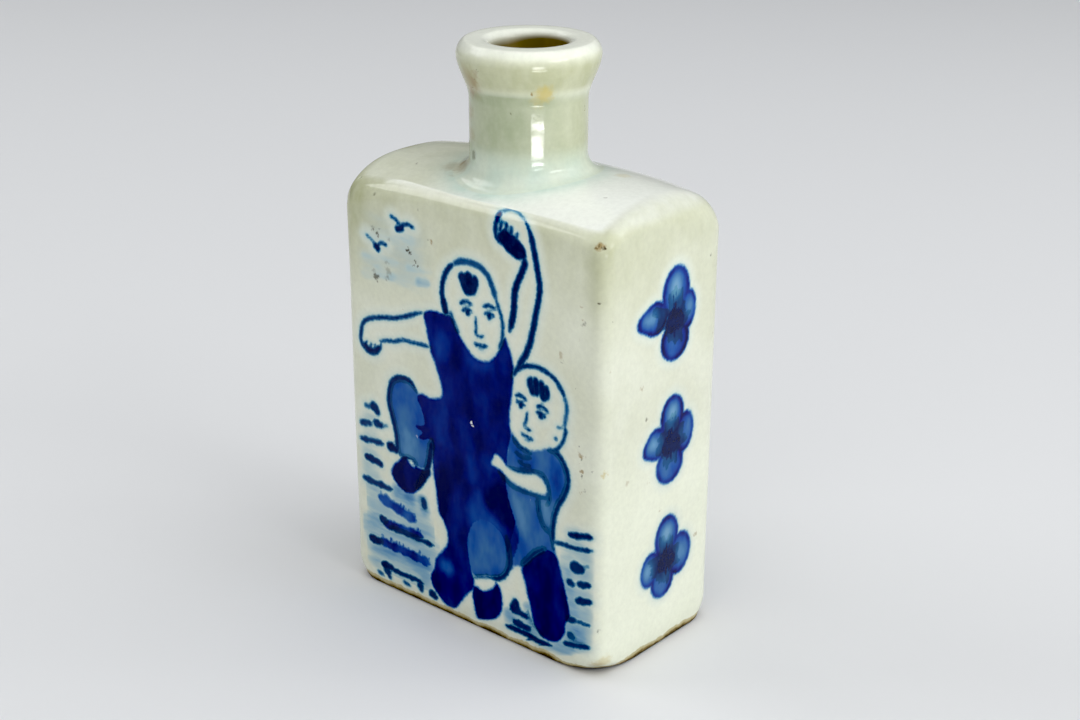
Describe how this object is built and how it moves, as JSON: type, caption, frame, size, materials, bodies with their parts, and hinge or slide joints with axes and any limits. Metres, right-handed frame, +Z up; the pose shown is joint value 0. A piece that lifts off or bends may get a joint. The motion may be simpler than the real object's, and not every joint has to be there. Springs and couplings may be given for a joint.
{
  "type": "snuff bottle",
  "caption": "Small flat-sided hollow flask with a round neck and a rolled lip, in pale glazed porcelain painted with a blue scene. Holds powder, stands on its foot.",
  "frame": {"origin": "on the ground under the middle of the bottle", "axes": "+Z up, +X along the width with the broad painted front towards -Y"},
  "size_m": [0.036, 0.0196, 0.0617],
  "materials": {
    "glazed_porcelain": "glossy off-white glaze with a faint grey-green cast, specks and rust marks, cobalt blue underglaze painting, bare buff clay at the foot"
  },
  "bodies": {
    "root": {"bottle": "glazed_porcelain"}
  },
  "joints": []
}
